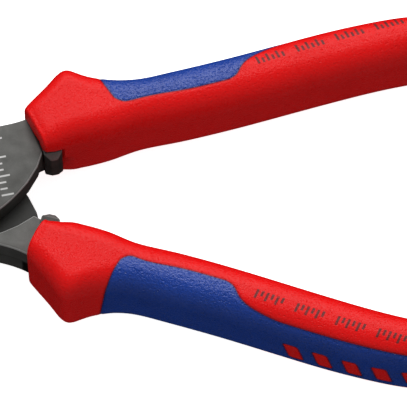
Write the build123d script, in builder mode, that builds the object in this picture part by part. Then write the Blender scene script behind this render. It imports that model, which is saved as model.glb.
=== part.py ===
from build123d import *
import math
import os

# Cable cutter with a bolted lap joint, two bypass jaws and two moulded handles.
# The origin lies on the pivot axis at the level the tool rests on. +X runs to
# the handles, +Z out of the front face. Lengths in millimetres, angles in degrees.
# Every lever piece is drawn once, in the closed position, for the front lever.

REST_ANGLE = 13.0
THICKNESS = 20.0
MID_Z = THICKNESS / 2

# Forged levers
STEEL_HALF = 5.0
MATING_GAP = 0.02
JOINT_RADIUS = 12.6
PIVOT_HOLE_RADIUS = 4.05
HEAD_TIP = (-36.8, 3.86)
TIP_NOSE = (-38.5, 2.2)
TIP_BACK = (-38.1, -0.8)
JAW_BACK = [(-34.4, -8.8), (-26, -15.0), (-16, -16.6), (-6, -14.2), (2, -12.6)]
NECK = [(9, -11.9), (14.9, -9.9), (17.5, -8.4), (20.0, -6.6), (22.4, -4.6)]
NECK_CORNER = (25.2, -1.3)
NECK_HEEL = (27.1, 2.2)
OUTER_EDGE = [
    (2.2, 12.41), (9, 11.8), (14, 10.8), (19.5, 10.4), (25.7, 11.0), (30, 12.2),
    (36, 12.7), (45, 12.2), (55, 12.0), (66, 12.4), (80, 13.3), (95, 14.3),
    (106, 14.7), (114, 14.1), (119, 13.2),
]
TANG_END = (120.8, 11.1)
INNER_EDGE = [
    (118.4, 9.0), (111.5, 9.6), (106, 9.75), (95, 9.2), (80, 7.9), (66, 6.7),
    (55, 6.2), (45, 5.7), (36, 5.2), (31.3, 4.6),
]
# Step wall that the other lever's plate nests against when the tool is closed
STEP_LINE = [(14.2, 12.4), (15.6, 10.7), (17.7, 8.75), (20.3, 6.9), (22.7, 4.9)]
STEP_CORNER = (25.55, 1.8)
CUT_REACH = 60.0

# Stop lug on the inner side of each lever
LUG_START = 27.2
LUG_END = 31.3
LUG_TIP = 0.03
LUG_ROOT = 6.0
LUG_CHAMFER = 1.1

# Cutting edge: a concave arc with a ground bevel on the outer face
EDGE_CENTRE = (-24.3, 25.5)
EDGE_RADIUS = 25.0
EDGE_HEEL_X = -12.03
EDGE_LAND = 0.35
BEVEL_WIDTH = 4.4
BEVEL_CLEAR = 0.5

# Joint hardware
HEAD_RADIUS = 7.2
HEAD_HEIGHT = 4.2
HEAD_CHAMFER = 0.6
SHANK_RADIUS = 4.0
THREAD_RADIUS = 3.5
WASHER_RADIUS = 8.4
WASHER_THICKNESS = 0.8
WASHER_BORE = 4.05
WASHER_GAP = 0.02
NUT_WIDTH = 13.0
NUT_TOP = 19.9
NUT_CHAMFER_RADIUS = 6.75
NUT_BORE = 3.52
RING_RADIUS = 4.9
RING_DEPTH = 1.4
BOLT_END = 19.6
BOLT_END_CHAMFER = 0.5
SLOT_WIDTH = 1.3
SLOT_DEPTH = 1.0

# Grip sections: distance from the pivot, outer y, inner y, half height, corner
GRIP_SECTIONS = [
    (26.4, 11.2, 2.1, 8.4, 2.6),
    (26.6, 11.8, 1.5, 9.0, 3.0),
    (27.1, 12.6, 1.2, 9.4, 3.4),
    (28.2, 13.6, 1.2, 9.65, 3.9),
    (30.2, 15.3, 1.4, 9.85, 4.4),
    (33.0, 17.8, 1.7, 9.98, 4.8),
    (35.4, 19.9, 1.85, 9.98, 5.0),
    (37.0, 20.1, 1.85, 9.98, 5.05),
    (38.8, 19.1, 1.9, 9.94, 5.1),
    (40.9, 17.8, 2.0, 9.85, 5.15),
    (43.3, 16.75, 2.25, 9.75, 5.2),
    (46.0, 15.9, 2.65, 9.6, 5.3),
    (48.7, 15.4, 2.95, 9.5, 5.45),
    (51.5, 15.2, 3.0, 9.4, 5.6),
    (56.8, 15.3, 3.0, 9.4, 5.6),
    (62.2, 15.55, 3.15, 9.4, 5.6),
    (73.1, 16.2, 3.8, 9.4, 5.6),
    (84.2, 17.13, 4.73, 9.4, 5.6),
    (95.2, 17.95, 5.65, 9.45, 5.6),
    (106.2, 18.1, 6.36, 9.6, 5.5),
    (113.0, 17.6, 6.5, 9.7, 5.2),
    (119.0, 16.6, 6.2, 9.6, 4.9),
    (123.0, 15.6, 6.1, 9.1, 4.5),
    (125.4, 14.5, 6.6, 8.2, 3.8),
    (126.7, 13.2, 7.5, 6.9, 2.8),
    (127.1, 12.1, 8.5, 5.6, 1.7),
]
FACE_TILT = 10.5
TILT_END = 35.4
NOTCH_CENTRE = (29.25, -0.3)
NOTCH_RADIUS = 3.2
NOTCH_HEIGHT = 11.6
# The rear flange stops short of the lug, so the lug's root shows on that side
FLANGE_LINE = [(25.5, 3.2), (28.4, 3.2), (31.3, 2.5), (33.8, 2.0), (36.0, 1.6)]
FLANGE_FLOOR = -2.0
FLANGE_TOP_Z = 8.0

# Hard inner sleeve round the tang
CORE_START = 33.5
CORE_END = 121.9
CORE_HALF = 5.9
CORE_OUTER = [(33.5, 13.9), (45, 13.3), (55, 13.1), (66, 13.5), (80, 14.4),
              (95, 15.4), (106, 15.8), (114, 15.2), (121.9, 13.6)]
CORE_INNER = [(121.9, 8.0), (111.5, 8.5), (106, 8.65), (95, 8.1), (80, 6.8),
              (66, 5.6), (55, 5.1), (45, 4.6), (33.5, 4.0)]

# Soft inlay on the outer side
INLAY_DEPTH = 1.5
INSET_CORNER = 0.15
INLAY_FRONT = [(43.2, 18.0), (43.8, 16.0), (44.9, 12.4), (45.9, 9.6)]
INLAY_LIP = [(45.9, 9.6), (47.4, 8.4), (50.5, 8.35), (59.2, 8.4), (66, 8.6), (70.4, 8.9)]
INLAY_DROP = [(70.4, 8.9), (72.2, 9.7), (73.6, 11.5), (76.3, 13.9), (80.0, 15.0)]
STRIPE_HALF = 8.0
STRIPE_START = 78.0
STRIPE_END = 121.5
STRIPE_INNER_Y = 11.5

# Bars of the grip body that show through the inlay
BAR_COUNT = 5
BAR_FIRST = 85.0
BAR_PITCH = 6.6
BAR_WIDTH = 3.4
BAR_HALF = 2.9
BAR_LEAN = 1.6
BAR_CENTRE_Z = 11.0


def edge_point(x):
    """Point of the cutting edge at a given distance along the head."""
    drop = math.sqrt(EDGE_RADIUS**2 - (x - EDGE_CENTRE[0]) ** 2)
    return (x, EDGE_CENTRE[1] - drop)


def bevel_tool():
    """Cone that grinds the cutting edge, kept clear of the joint face."""
    low = MID_Z + MATING_GAP + EDGE_LAND
    rise = MID_Z + STEEL_HALF - low
    slope = BEVEL_WIDTH / rise
    height = rise + BEVEL_CLEAR
    with BuildPart() as tool:
        with Locations((EDGE_CENTRE[0], EDGE_CENTRE[1], low)):
            Cone(EDGE_RADIUS, EDGE_RADIUS + slope * height, height,
                 align=(Align.CENTER, Align.CENTER, Align.MIN))
        with Locations((0, 0, MID_Z)):
            Cylinder(JOINT_RADIUS + BEVEL_CLEAR, THICKNESS * 2, mode=Mode.SUBTRACT)
        with Locations((CUT_REACH, 0, 0)):
            Box(CUT_REACH * 2 + 2, CUT_REACH * 3, THICKNESS * 3, mode=Mode.SUBTRACT)
    return tool.part


def stop_lug():
    """Block on the inner side of a lever that meets its twin when closed."""
    with BuildPart() as lug:
        with Locations(((LUG_START + LUG_END) / 2, LUG_TIP, MID_Z)):
            Box(LUG_END - LUG_START, LUG_ROOT, STEEL_HALF * 2,
                align=(Align.CENTER, Align.MIN, Align.CENTER))
        chamfer(lug.faces().sort_by(Axis.Y)[0].edges(), LUG_CHAMFER)
    return lug.part


def closed_lever():
    """One forging: jaw, joint plate, stop lug and tang."""
    grinder = bevel_tool()
    lug = stop_lug()
    heel = edge_point(EDGE_HEEL_X)
    with BuildPart() as lever:
        with BuildSketch(Plane.XY.offset(MID_Z - STEEL_HALF)):
            with BuildLine():
                ThreePointArc(HEAD_TIP, edge_point(EDGE_CENTRE[0]), heel)
                ThreePointArc(heel, (-8.0, 9.73), OUTER_EDGE[0])
                Spline(OUTER_EDGE)
                ThreePointArc(OUTER_EDGE[-1], TANG_END, INNER_EDGE[0])
                Spline(INNER_EDGE)
                Polyline(INNER_EDGE[-1], NECK_HEEL, NECK_CORNER, NECK[-1])
                Spline(list(reversed(JAW_BACK + NECK)) + [TIP_BACK])
                ThreePointArc(TIP_BACK, TIP_NOSE, HEAD_TIP)
            make_face()
        extrude(amount=STEEL_HALF * 2)
        with BuildSketch(Plane.XY):
            with BuildLine():
                Polyline((-CUT_REACH, CUT_REACH), (STEP_LINE[0][0], CUT_REACH), *STEP_LINE,
                         STEP_CORNER, NECK_HEEL, (NECK_HEEL[0], -CUT_REACH),
                         (-CUT_REACH, -CUT_REACH), close=True)
            make_face()
        extrude(amount=MID_Z + MATING_GAP, mode=Mode.SUBTRACT)
        add(grinder, mode=Mode.SUBTRACT)
        with Locations((0, 0, MID_Z)):
            Cylinder(PIVOT_HOLE_RADIUS, THICKNESS, mode=Mode.SUBTRACT)
        add(lug)
    return lever.part


def grip_blank(inset):
    """Outer shape of a handle grip, or the same shape shrunk by an inset."""
    with BuildPart() as blank:
        for x, outer, inner, half, corner in GRIP_SECTIONS:
            share = max(TILT_END - x, 0) / (TILT_END - GRIP_SECTIONS[0][0])
            tilt = math.radians(FACE_TILT * share)
            width = (outer - inner) / math.cos(tilt)
            plane = Plane(origin=(x, (outer + inner) / 2, MID_Z),
                          x_dir=(-math.sin(tilt), math.cos(tilt), 0),
                          z_dir=(math.cos(tilt), math.sin(tilt), 0))
            with BuildSketch(plane):
                RectangleRounded(width - 2 * inset, 2 * (half - inset),
                                 max(corner - inset, INSET_CORNER))
        loft()
        with Locations((*NOTCH_CENTRE, MID_Z)):
            Cylinder(NOTCH_RADIUS, NOTCH_HEIGHT, mode=Mode.SUBTRACT)
        with BuildSketch(Plane.XY.offset(FLANGE_TOP_Z)):
            with BuildLine():
                Polyline(*FLANGE_LINE, (FLANGE_LINE[-1][0], FLANGE_FLOOR),
                         (FLANGE_LINE[0][0], FLANGE_FLOOR), close=True)
            make_face()
        extrude(amount=-THICKNESS, mode=Mode.SUBTRACT)
    return blank.part


def core_blank():
    """Solid bar that becomes the inner sleeve once the tang is cut from it."""
    with BuildPart() as bar:
        with BuildSketch(Plane.XY.offset(MID_Z - CORE_HALF)):
            with BuildLine():
                Spline(CORE_OUTER)
                Line(CORE_OUTER[-1], CORE_INNER[0])
                Spline(CORE_INNER)
                Line(CORE_INNER[-1], CORE_OUTER[0])
            make_face()
        extrude(amount=CORE_HALF * 2)
    return bar.part


def inlay_region():
    """Zone of a handle that belongs to the soft inlay, bars already left out."""
    with BuildPart() as zone:
        with BuildSketch(Plane.XY.offset(-1)):
            with BuildLine():
                Spline(INLAY_FRONT)
                Spline(INLAY_LIP)
                Spline(INLAY_DROP)
                Polyline(INLAY_DROP[-1], (INLAY_DROP[-1][0], CUT_REACH),
                         (INLAY_FRONT[0][0], CUT_REACH), INLAY_FRONT[0])
            make_face()
        extrude(amount=THICKNESS + 2)
        with Locations((STRIPE_START, STRIPE_INNER_Y, MID_Z)):
            Box(STRIPE_END - STRIPE_START, THICKNESS, STRIPE_HALF * 2,
                align=(Align.MIN, Align.MIN, Align.CENTER))
        fillet(zone.faces().sort_by(Axis.X)[-1].edges().filter_by(Axis.Y), STRIPE_HALF - 1)
        with BuildSketch(Plane.XZ.offset(-STRIPE_INNER_Y)):
            with BuildLine():
                Polyline((0, 0), (BAR_WIDTH, 0), (BAR_WIDTH + BAR_LEAN, BAR_HALF * 2),
                         (BAR_LEAN, BAR_HALF * 2), close=True)
            bar = make_face(mode=Mode.PRIVATE)
            for index in range(BAR_COUNT):
                with Locations((BAR_FIRST + index * BAR_PITCH, BAR_CENTRE_Z - BAR_HALF)):
                    add(bar)
        extrude(amount=-THICKNESS, mode=Mode.SUBTRACT)
    return zone.part


def closed_handle(lever):
    """Core, grip body and inlay of one handle, moulded round the tang."""
    outside = grip_blank(0)
    inside = grip_blank(INLAY_DEPTH)
    region = inlay_region()
    bar = core_blank()
    with BuildPart() as inlay:
        add(outside)
        add(region, mode=Mode.INTERSECT)
        add(inside, mode=Mode.SUBTRACT)
    with BuildPart() as body:
        add(outside)
        add(inlay.part, mode=Mode.SUBTRACT)
        add(bar, mode=Mode.SUBTRACT)
        add(lever, mode=Mode.SUBTRACT)
    with BuildPart() as core:
        add(bar)
        add(lever, mode=Mode.SUBTRACT)
    return core.part, body.part, inlay.part


def pivot_bolt():
    """Shoulder bolt with a flat round head, a thread and a slotted end."""
    joint_top = MID_Z + STEEL_HALF + WASHER_GAP + WASHER_THICKNESS
    with BuildPart() as bolt:
        Cylinder(HEAD_RADIUS, HEAD_HEIGHT, align=(Align.CENTER, Align.CENTER, Align.MIN))
        chamfer(bolt.edges().filter_by(GeomType.CIRCLE).sort_by(Axis.Z)[0], HEAD_CHAMFER)
        Cylinder(SHANK_RADIUS, joint_top, align=(Align.CENTER, Align.CENTER, Align.MIN))
        Cylinder(THREAD_RADIUS, BOLT_END, align=(Align.CENTER, Align.CENTER, Align.MIN))
        chamfer(bolt.edges().filter_by(GeomType.CIRCLE).sort_by(Axis.Z)[-1], BOLT_END_CHAMFER)
        with Locations((0, 0, BOLT_END)):
            Box(THREAD_RADIUS * 3, SLOT_WIDTH, SLOT_DEPTH * 2, rotation=(0, 0, 35),
                mode=Mode.SUBTRACT)
    return bolt.part


def washer(level):
    """Flat washer between the joint plates and the bolt head or the nut."""
    with BuildPart() as ring:
        with Locations((0, 0, level)):
            Cylinder(WASHER_RADIUS, WASHER_THICKNESS,
                     align=(Align.CENTER, Align.CENTER, Align.MIN))
            Cylinder(WASHER_BORE, THICKNESS, mode=Mode.SUBTRACT)
    return ring.part


def pivot_nut():
    """Hexagon nut with chamfered corners and a pocket for the locking ring."""
    base = MID_Z + STEEL_HALF + WASHER_GAP + WASHER_THICKNESS
    height = NUT_TOP - base
    with BuildPart() as nut:
        with BuildSketch(Plane.XY.offset(base)):
            RegularPolygon(NUT_WIDTH / 2, 6, major_radius=False)
        extrude(amount=height)
        with Locations((0, 0, base)):
            Cone(NUT_CHAMFER_RADIUS + height * 2, NUT_CHAMFER_RADIUS, height,
                 align=(Align.CENTER, Align.CENTER, Align.MIN), mode=Mode.INTERSECT)
            Cylinder(NUT_BORE, THICKNESS, mode=Mode.SUBTRACT)
        with Locations((0, 0, NUT_TOP)):
            Cylinder(RING_RADIUS, RING_DEPTH * 2, mode=Mode.SUBTRACT)
    return nut.part


def lock_ring():
    """Nylon ring in the end of the nut that keeps the joint setting."""
    with BuildPart() as ring:
        with Locations((0, 0, NUT_TOP - RING_DEPTH)):
            Cylinder(RING_RADIUS, RING_DEPTH, align=(Align.CENTER, Align.CENTER, Align.MIN))
            Cylinder(NUT_BORE, THICKNESS, mode=Mode.SUBTRACT)
    return ring.part


def front_side(shape):
    """Swing a closed piece into the rest pose of the front lever."""
    return Rot(0, 0, REST_ANGLE) * shape


def rear_side(shape):
    """Turn a closed piece over and swing it into the rest pose of the rear lever."""
    return Rot(0, 0, -REST_ANGLE) * Pos(0, 0, THICKNESS) * Rot(180, 0, 0) * shape


def save(shape, label):
    """Name a finished piece and write it as its own file."""
    shape.label = label
    export_step(shape, f"parts/{label}.step")


def main():
    """Build every piece and write it."""
    os.makedirs("parts", exist_ok=True)
    lever = closed_lever()
    core, body, inlay = closed_handle(lever)
    for name, shape in (("blade_lever", lever), ("grip_core", core),
                        ("grip_body", body), ("grip_inlay", inlay)):
        save(front_side(shape), f"front_{name}")
        save(rear_side(shape), f"rear_{name}")
    save(pivot_bolt(), "pivot_bolt")
    save(washer(HEAD_HEIGHT), "rear_washer")
    save(washer(MID_Z + STEEL_HALF + WASHER_GAP), "front_washer")
    save(pivot_nut(), "pivot_nut")
    save(lock_ring(), "lock_ring")


main()
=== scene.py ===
"""Looks of a cable cutter: blackened forgings on a bolted lap joint, two-colour moulded grips.

Each lever is drawn in its closed position, in millimetres, and swung into the rest pose.
"""

import logging
import math
from dataclasses import dataclass
from enum import Enum

import bmesh
import bpy
import numpy as np
from mathutils import Matrix, Vector

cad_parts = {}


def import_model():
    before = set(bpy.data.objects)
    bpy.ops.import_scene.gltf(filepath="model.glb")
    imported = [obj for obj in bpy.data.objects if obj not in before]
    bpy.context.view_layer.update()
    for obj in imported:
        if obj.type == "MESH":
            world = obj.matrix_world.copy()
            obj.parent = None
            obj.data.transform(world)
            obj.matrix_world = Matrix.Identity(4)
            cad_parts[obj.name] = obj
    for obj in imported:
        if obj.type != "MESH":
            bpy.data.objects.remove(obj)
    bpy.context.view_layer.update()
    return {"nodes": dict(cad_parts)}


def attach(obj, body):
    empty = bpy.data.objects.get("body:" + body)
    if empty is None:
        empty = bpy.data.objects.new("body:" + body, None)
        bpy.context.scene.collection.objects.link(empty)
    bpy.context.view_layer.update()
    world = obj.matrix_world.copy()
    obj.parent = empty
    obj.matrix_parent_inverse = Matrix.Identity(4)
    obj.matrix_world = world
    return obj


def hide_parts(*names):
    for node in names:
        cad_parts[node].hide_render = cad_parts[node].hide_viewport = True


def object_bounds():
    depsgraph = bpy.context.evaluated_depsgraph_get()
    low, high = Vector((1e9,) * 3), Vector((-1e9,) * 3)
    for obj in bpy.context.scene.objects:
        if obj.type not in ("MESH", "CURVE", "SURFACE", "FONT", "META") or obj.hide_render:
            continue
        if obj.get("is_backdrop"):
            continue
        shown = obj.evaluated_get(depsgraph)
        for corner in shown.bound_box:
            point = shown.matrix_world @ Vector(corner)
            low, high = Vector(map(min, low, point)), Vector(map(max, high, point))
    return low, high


LOG = logging.getLogger("cutter")
MM = 0.001
REST_ANGLE = 13.0
THICKNESS = 20.0
MID_Z = 10.0
MATING_GAP = 0.02

Point2 = tuple[float, float]


class Side(Enum):
    """The two levers: front is over the joint, rear is the same part turned over."""

    FRONT = "front"
    REAR = "rear"

    def placement(self) -> Matrix:
        """Swing of a closed piece into its rest pose.

        Returns:
            Matrix for points in metres.
        """
        swing = math.radians(REST_ANGLE)
        if self is Side.FRONT:
            return Matrix.Rotation(swing, 4, "Z")
        over = Matrix.Translation((0, 0, THICKNESS * MM)) @ Matrix.Rotation(math.pi, 4, "X")
        return Matrix.Rotation(-swing, 4, "Z") @ over

    @property
    def body(self) -> str:
        """Name of the CAD body that this lever's pieces ride on."""
        return f"{self.value}_lever"


# ---------------------------------------------------------------- curves


def cubic_through(knots: np.ndarray, values: np.ndarray, at: np.ndarray) -> np.ndarray:
    """Natural cubic spline.

    Args:
        knots: Rising parameter of each value.
        values: One row for each knot.
        at: Parameters to read the spline at.

    Returns:
        One row for each entry of at.
    """
    count = len(knots)
    gaps = np.diff(knots)
    slopes = np.diff(values, axis=0) / gaps[:, None]
    system = np.eye(count)
    right = np.zeros_like(values, dtype=float)
    for i in range(1, count - 1):
        system[i, i - 1 : i + 2] = gaps[i - 1], 2 * (gaps[i - 1] + gaps[i]), gaps[i]
        right[i] = 6 * (slopes[i] - slopes[i - 1])
    bend = np.linalg.solve(system, right)
    spot = np.clip(np.searchsorted(knots, at, side="right") - 1, 0, count - 2)
    gap = gaps[spot][:, None]
    ahead = (at - knots[spot])[:, None]
    behind = gap - ahead
    low, high = bend[spot], bend[spot + 1]
    return (
        (low * behind**3 + high * ahead**3) / (6 * gap)
        + (values[spot] / gap - low * gap / 6) * behind
        + (values[spot + 1] / gap - high * gap / 6) * ahead
    )


def smooth_line(points: list[Point2], step: float) -> np.ndarray:
    """Smooth curve through the given points.

    Args:
        points: Points that the curve goes through.
        step: Rough spacing of the new points, in millimetres.

    Returns:
        Points along the curve.
    """
    rows = np.array(points, float)
    knots = np.concatenate([[0], np.cumsum(np.linalg.norm(np.diff(rows, axis=0), axis=1))])
    count = max(int(knots[-1] / step), 2)
    return cubic_through(knots, rows, np.linspace(0, knots[-1], count + 1))


def arc_through(a: Point2, b: Point2, c: Point2, step: float) -> np.ndarray:
    """Circular arc through three points.

    Args:
        a: First point of the arc.
        b: Point on the way.
        c: Last point of the arc.
        step: Rough spacing of the new points, in millimetres.

    Returns:
        Points along the arc.
    """
    (ax, ay), (bx, by), (cx, cy) = a, b, c
    d = 2 * (ax * (by - cy) + bx * (cy - ay) + cx * (ay - by))
    sa, sb, sc = ax**2 + ay**2, bx**2 + by**2, cx**2 + cy**2
    mx = (sa * (by - cy) + sb * (cy - ay) + sc * (ay - by)) / d
    my = (sa * (cx - bx) + sb * (ax - cx) + sc * (bx - ax)) / d
    first, mid, last = (math.atan2(y - my, x - mx) for x, y in (a, b, c))
    turn = (last - first) % math.tau
    if (mid - first) % math.tau > turn:
        turn -= math.tau
    radius = math.hypot(ax - mx, ay - my)
    count = max(int(abs(turn) * radius / step), 3)
    angles = first + np.linspace(0, turn, count + 1)
    return np.stack([mx + radius * np.cos(angles), my + radius * np.sin(angles)], axis=1)


def join_loop(*runs: np.ndarray) -> np.ndarray:
    """One closed loop from runs that follow each other, with no doubled point.

    Args:
        *runs: Rows of points, in order.

    Returns:
        Points of the loop.
    """
    points = np.concatenate(runs)
    keep = np.linalg.norm(points - np.roll(points, 1, axis=0), axis=1) > 1e-4
    return points[keep]


def inset_loop(loop: np.ndarray, amount: float) -> np.ndarray:
    """The loop moved inwards by amount, with mitred corners.

    Args:
        loop: Closed loop of points, in either direction.
        amount: How far in, in millimetres.

    Returns:
        The new loop, point for point.
    """
    ahead = np.roll(loop, -1, axis=0) - loop
    area = np.sum(loop[:, 0] * np.roll(loop[:, 1], -1) - loop[:, 1] * np.roll(loop[:, 0], -1))
    normal = np.stack([-ahead[:, 1], ahead[:, 0]], axis=1) * np.sign(area)
    normal /= np.linalg.norm(normal, axis=1)[:, None]
    before = np.roll(normal, 1, axis=0)
    mitre = normal + before
    mitre /= np.maximum(np.sum(mitre * normal, axis=1), 0.6)[:, None]
    return loop + mitre * amount


def loop_distance(points: np.ndarray, loop: np.ndarray) -> np.ndarray:
    """Signed distance of points from a closed loop.

    Args:
        points: Points in the plane.
        loop: Corners of the loop, in order.

    Returns:
        Distances, positive inside the loop.
    """
    best = np.full(len(points), 1e9)
    inside = np.zeros(len(points), bool)
    for start, end in zip(loop, np.roll(loop, -1, axis=0)):
        run = end - start
        share = np.clip((points - start) @ run / max(run @ run, 1e-12), 0, 1)
        best = np.minimum(best, np.linalg.norm(points - start - share[:, None] * run, axis=1))
        crosses = (start[1] > points[:, 1]) != (end[1] > points[:, 1])
        rise = end[1] - start[1] if end[1] != start[1] else 1e-12
        at = start[0] + (points[:, 1] - start[1]) / rise * run[0]
        inside ^= crosses & (points[:, 0] < at)
    return np.where(inside, best, -best)


def rounded_box(across: np.ndarray, up: np.ndarray, half: Point2, radius: float) -> np.ndarray:
    """Signed distance from a rounded rectangle round the origin.

    Args:
        across: First coordinate of each point.
        up: Second coordinate of each point.
        half: Half the rectangle's width and height.
        radius: Corner radius.

    Returns:
        Distances, positive inside the rectangle.
    """
    dx = np.abs(across) - half[0] + radius
    dy = np.abs(up) - half[1] + radius
    outside = np.hypot(np.maximum(dx, 0), np.maximum(dy, 0))
    return radius - outside - np.minimum(np.maximum(dx, dy), 0)


def smooth_share(value: np.ndarray) -> np.ndarray:
    """Smooth step from 0 at 0 to 1 at 1."""
    share = np.clip(value, 0, 1)
    return share * share * (3 - 2 * share)


# ---------------------------------------------------------------- meshes


def ring_faces(rings: int, count: int, closed: bool = False) -> list[list[int]]:
    """Quads between rings of points that follow each other in a point list.

    Args:
        rings: Number of rings.
        count: Points in each ring.
        closed: Whether the last ring joins the first.

    Returns:
        Point numbers of each face.
    """
    faces = []
    for i in range(rings if closed else rings - 1):
        j = (i + 1) % rings
        for k in range(count):
            m = (k + 1) % count
            faces.append([i * count + k, i * count + m, j * count + m, j * count + k])
    return faces


def linked(name: str, mesh: bpy.types.Mesh) -> bpy.types.Object:
    """Object for a mesh, put in the scene.

    Args:
        name: Name of the object.
        mesh: Its mesh.

    Returns:
        The object.
    """
    piece = bpy.data.objects.new(name, mesh)
    bpy.context.scene.collection.objects.link(piece)
    return piece


def mesh_from(name: str, bm: bmesh.types.BMesh) -> bpy.types.Mesh:
    """Mesh from a bmesh, which is freed.

    Args:
        name: Name of the mesh.
        bm: Edited mesh.

    Returns:
        The mesh.
    """
    mesh = bpy.data.meshes.new(name)
    bm.to_mesh(mesh)
    bm.free()
    return mesh


def new_piece(name: str, verts: np.ndarray, faces: list[list[int]]) -> bpy.types.Object:
    """Mesh object from millimetre points.

    Args:
        name: Name of the piece.
        verts: Points in the closed lever's frame, in millimetres.
        faces: Point numbers of each face.

    Returns:
        The new object.
    """
    mesh = bpy.data.meshes.new(name)
    mesh.from_pydata([tuple(v) for v in np.asarray(verts) * MM], [], faces)
    mesh.validate()
    return linked(name, mesh)


def settle(piece: bpy.types.Object, side: Side | None) -> None:
    """Keep the drawing coordinates on the mesh, then move it to its rest pose.

    Args:
        piece: Mesh object drawn in the closed pose.
        side: Lever that it belongs to, or None for a piece on the pivot axis.
    """
    mesh = piece.data
    drawn = mesh.attributes.new("drawn", "FLOAT_VECTOR", "POINT")
    flat = np.empty(len(mesh.vertices) * 3)
    mesh.vertices.foreach_get("co", flat)
    drawn.data.foreach_set("vector", flat / MM)
    if side is not None:
        mesh.transform(side.placement())
    mesh.update()


def tidy_mesh(piece: bpy.types.Object, sharp_degrees: float) -> None:
    """Merge doubled points, turn faces outwards, and shade smooth up to an angle.

    Args:
        piece: Mesh object to clean.
        sharp_degrees: Angle between two faces from which their edge is sharp.
    """
    bm = bmesh.new()
    bm.from_mesh(piece.data)
    bmesh.ops.remove_doubles(bm, verts=bm.verts, dist=1e-7)
    bmesh.ops.dissolve_degenerate(bm, edges=bm.edges, dist=1e-8)
    bmesh.ops.recalc_face_normals(bm, faces=bm.faces)
    limit = math.radians(sharp_degrees)
    for face in bm.faces:
        face.smooth = True
    for edge in bm.edges:
        edge.smooth = len(edge.link_faces) == 2 and edge.calc_face_angle(0) < limit
    bm.to_mesh(piece.data)
    bm.free()


def cut_away(piece: bpy.types.Object, tool: bpy.types.Object) -> None:
    """Take the tool's shape out of the piece and delete the tool.

    Args:
        piece: Object that is cut.
        tool: Closed object that cuts it.
    """
    cut = piece.modifiers.new("cut", "BOOLEAN")
    cut.operation = "DIFFERENCE"
    cut.solver = "EXACT"
    cut.object = tool
    bpy.context.view_layer.update()
    graph = bpy.context.evaluated_depsgraph_get()
    result = bpy.data.meshes.new_from_object(piece.evaluated_get(graph))
    piece.modifiers.clear()
    piece.data = result
    bpy.data.objects.remove(tool)


def turned(profile: list[Point2], segments: int) -> tuple[np.ndarray, list[list[int]]]:
    """Points and faces of a turned shape.

    Args:
        profile: Closed loop of (radius, height) points. A radius of 0 lies on the axis.
        segments: Number of steps round the axis.

    Returns:
        Points in millimetres, and faces.
    """
    angles = np.linspace(0, math.tau, segments, endpoint=False)
    rows = np.array(profile, float)
    ring = np.stack(
        [
            rows[:, None, 0] * np.cos(angles),
            rows[:, None, 0] * np.sin(angles),
            np.repeat(rows[:, 1:2], segments, axis=1),
        ],
        axis=2,
    ).reshape(-1, 3)
    radius = np.repeat(rows[:, 0], segments)
    faces = [face for face in ring_faces(len(rows), segments, True) if radius[face].any()]
    return ring, faces


# ---------------------------------------------------------------- shader maths


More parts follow.
